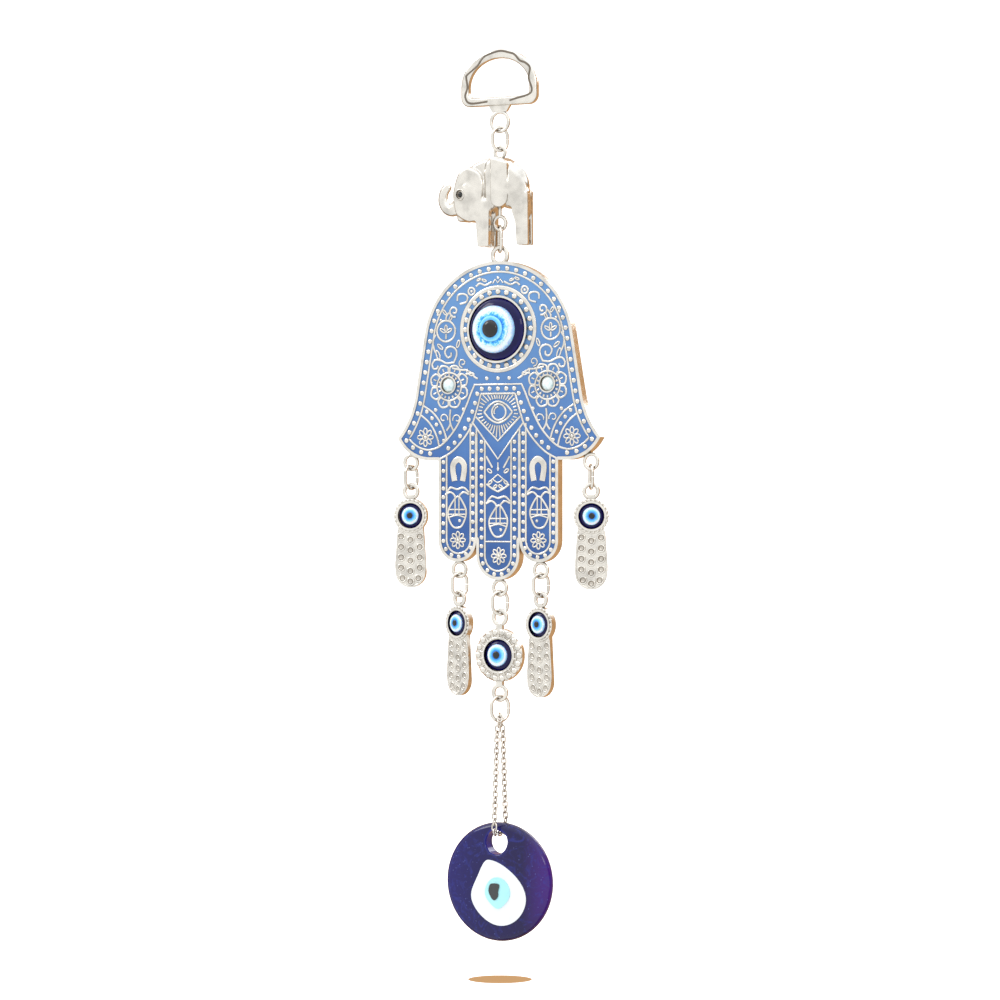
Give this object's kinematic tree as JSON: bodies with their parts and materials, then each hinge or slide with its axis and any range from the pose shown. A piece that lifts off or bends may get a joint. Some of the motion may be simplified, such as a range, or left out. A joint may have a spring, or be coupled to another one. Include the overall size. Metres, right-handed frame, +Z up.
{
  "type": "evil eye wall hanging",
  "caption": "Hanging ornament: cast loop, elephant charm, enamelled open hand with resin eye, eye pendants on links and a glass eye disc on a doubled chain.",
  "frame": {"origin": "inside top of the hanger's opening, where the wall hook bears", "axes": "+Z up, the hand's enamelled face looks along -Y, +X to the right seen from the front"},
  "size_m": [0.0751, 0.0124, 0.279],
  "materials": {
    "cast_silver": "polished silver-coloured plating over zinc casting",
    "wire_silver": "polished silver-coloured plated wire",
    "sky_enamel": "poured gloss enamel",
    "pale_stone": "faceted pale stone",
    "cobalt_resin": "clear gloss resin",
    "white_resin": "gloss resin",
    "sky_resin": "gloss resin",
    "black_gloss": "gloss",
    "cobalt_glass": "hand-poured glass, fire polished",
    "milk_glass": "opaque glass",
    "aqua_glass": "opaque glass"
  },
  "bodies": {
    "hanger": {"hanger": "cast_silver"},
    "top_link": {"top_link": "wire_silver"},
    "elephant": {"elephant_casting": "cast_silver", "elephant_eyes": "black_gloss"},
    "mid_link": {"mid_link": "wire_silver"},
    "hand": {"hand_casting": "cast_silver", "hand_enamel": "sky_enamel", "flower_stones": "pale_stone", "centre_eye_base": "cobalt_resin", "centre_eye_white": "white_resin", "centre_eye_iris": "sky_resin", "centre_eye_pupil": "black_gloss"},
    "link_thumb_left": {"link_thumb_left": "wire_silver"},
    "link_finger_left": {"link_finger_left": "wire_silver"},
    "link_centre": {"link_centre": "wire_silver"},
    "link_finger_right": {"link_finger_right": "wire_silver"},
    "link_thumb_right": {"link_thumb_right": "wire_silver"},
    "charm_thumb_left": {"charm_thumb_left": "cast_silver", "eye_thumb_left_base": "cobalt_resin", "eye_thumb_left_white": "white_resin", "eye_thumb_left_iris": "sky_resin", "eye_thumb_left_pupil": "black_gloss"},
    "charm_thumb_right": {"charm_thumb_right": "cast_silver", "eye_thumb_right_base": "cobalt_resin", "eye_thumb_right_white": "white_resin", "eye_thumb_right_iris": "sky_resin", "eye_thumb_right_pupil": "black_gloss"},
    "charm_finger_left": {"charm_finger_left": "cast_silver", "eye_finger_left_base": "cobalt_resin", "eye_finger_left_white": "white_resin", "eye_finger_left_iris": "sky_resin", "eye_finger_left_pupil": "black_gloss"},
    "charm_finger_right": {"charm_finger_right": "cast_silver", "eye_finger_right_base": "cobalt_resin", "eye_finger_right_white": "white_resin", "eye_finger_right_iris": "sky_resin", "eye_finger_right_pupil": "black_gloss"},
    "medallion": {"medallion_casting": "cast_silver", "medallion_eye_base": "cobalt_resin", "medallion_eye_white": "white_resin", "medallion_eye_iris": "sky_resin", "medallion_eye_pupil": "black_gloss"},
    "lower_link": {"lower_link": "wire_silver"},
    "chain_1": {"chain_1": "wire_silver"},
    "chain_2": {"chain_2": "wire_silver"},
    "chain_3": {"chain_3": "wire_silver"},
    "chain_4": {"chain_4": "wire_silver"},
    "chain_5": {"chain_5": "wire_silver"},
    "chain_6": {"chain_6": "wire_silver"},
    "chain_7": {"chain_7": "wire_silver"},
    "disc": {"disc_glass": "cobalt_glass", "disc_white": "milk_glass", "disc_cyan": "aqua_glass", "disc_pupil": "black_gloss"}
  },
  "joints": [
    {"name": "top_link_swing", "type": "hinge", "parent": "hanger", "child": "top_link", "pos_m": [0, 0, -0.02285], "axis": [1, 0, 0], "range_deg": [-35, 35]},
    {"name": "elephant_swing", "type": "hinge", "parent": "top_link", "child": "elephant", "pos_m": [0, 0, -0.02884], "axis": [0.5878, 0.809, 0], "range_deg": [-30, 30]},
    {"name": "mid_link_swing", "type": "hinge", "parent": "elephant", "child": "mid_link", "pos_m": [0, 0, -0.05368], "axis": [-1, 0, 0], "range_deg": [-20, 20]},
    {"name": "hand_swing", "type": "hinge", "parent": "mid_link", "child": "hand", "pos_m": [0, 0, -0.06047], "axis": [0.6157, -0.788, 0], "range_deg": [-15, 15]},
    {"name": "link_thumb_left_swing", "type": "hinge", "parent": "hand", "child": "link_thumb_left", "pos_m": [-0.0322, 0, -0.12863], "axis": [1, 0, 0], "range_deg": [-30, 30]},
    {"name": "charm_thumb_left_swing", "type": "hinge", "parent": "link_thumb_left", "child": "charm_thumb_left", "pos_m": [-0.0322, 0, -0.13462], "axis": [0.309, 0.9511, 0], "range_deg": [-12, 30]},
    {"name": "link_finger_left_swing", "type": "hinge", "parent": "hand", "child": "link_finger_left", "pos_m": [-0.01455, 0, -0.16238], "axis": [1, 0, 0], "range_deg": [-30, 30]},
    {"name": "charm_finger_left_swing", "type": "hinge", "parent": "link_finger_left", "child": "charm_finger_left", "pos_m": [-0.01455, 0, -0.16837], "axis": [0.6157, 0.788, 0], "range_deg": [-30, 30]},
    {"name": "link_centre_swing", "type": "hinge", "parent": "hand", "child": "link_centre", "pos_m": [0, 0, -0.16798], "axis": [1, 0, 0], "range_deg": [-30, 30]},
    {"name": "medallion_swing", "type": "hinge", "parent": "link_centre", "child": "medallion", "pos_m": [0, 0, -0.17397], "axis": [0.6157, 0.788, 0], "range_deg": [-25, 25]},
    {"name": "link_finger_right_swing", "type": "hinge", "parent": "hand", "child": "link_finger_right", "pos_m": [0.01455, 0, -0.16238], "axis": [1, 0, 0], "range_deg": [-30, 30]},
    {"name": "charm_finger_right_swing", "type": "hinge", "parent": "link_finger_right", "child": "charm_finger_right", "pos_m": [0.01455, 0, -0.16837], "axis": [0.6157, 0.788, 0], "range_deg": [-30, 30]},
    {"name": "link_thumb_right_swing", "type": "hinge", "parent": "hand", "child": "link_thumb_right", "pos_m": [0.0322, 0, -0.12863], "axis": [1, 0, 0], "range_deg": [-30, 30]},
    {"name": "charm_thumb_right_swing", "type": "hinge", "parent": "link_thumb_right", "child": "charm_thumb_right", "pos_m": [0.0322, 0, -0.13462], "axis": [0.6157, -0.788, 0], "range_deg": [-30, 30]},
    {"name": "lower_link_swing", "type": "hinge", "parent": "medallion", "child": "lower_link", "pos_m": [0, 0, -0.20081], "axis": [-1, 0, 0], "range_deg": [-30, 30]},
    {"name": "chain_1_swing", "type": "hinge", "parent": "lower_link", "child": "chain_1", "pos_m": [0, 0, -0.20735], "axis": [0.5, 0.866, 0], "range_deg": [-20, 20]},
    {"name": "chain_2_swing", "type": "hinge", "parent": "chain_1", "child": "chain_2", "pos_m": [0, 0, -0.2104], "axis": [0, -1, 0], "range_deg": [-18, 18]},
    {"name": "chain_3_swing", "type": "hinge", "parent": "chain_2", "child": "chain_3", "pos_m": [0, 0, -0.21607], "axis": [0, 1, 0], "range_deg": [-18, 18]},
    {"name": "chain_4_swing", "type": "hinge", "parent": "chain_3", "child": "chain_4", "pos_m": [0, 0, -0.22058], "axis": [0, -1, 0], "range_deg": [-18, 18]},
    {"name": "chain_5_swing", "type": "hinge", "parent": "chain_4", "child": "chain_5", "pos_m": [0, 0, -0.22625], "axis": [0, 1, 0], "range_deg": [-18, 18]},
    {"name": "chain_6_swing", "type": "hinge", "parent": "chain_5", "child": "chain_6", "pos_m": [0, 0, -0.23076], "axis": [0, -1, 0], "range_deg": [-18, 18]},
    {"name": "chain_7_swing", "type": "hinge", "parent": "chain_6", "child": "chain_7", "pos_m": [0, 0, -0.23643], "axis": [0, 1, 0], "range_deg": [-18, 18]},
    {"name": "disc_swing", "type": "hinge", "parent": "chain_7", "child": "disc", "pos_m": [0, 0, -0.2425], "axis": [0, 1, 0], "range_deg": [-30, 30]}
  ]
}
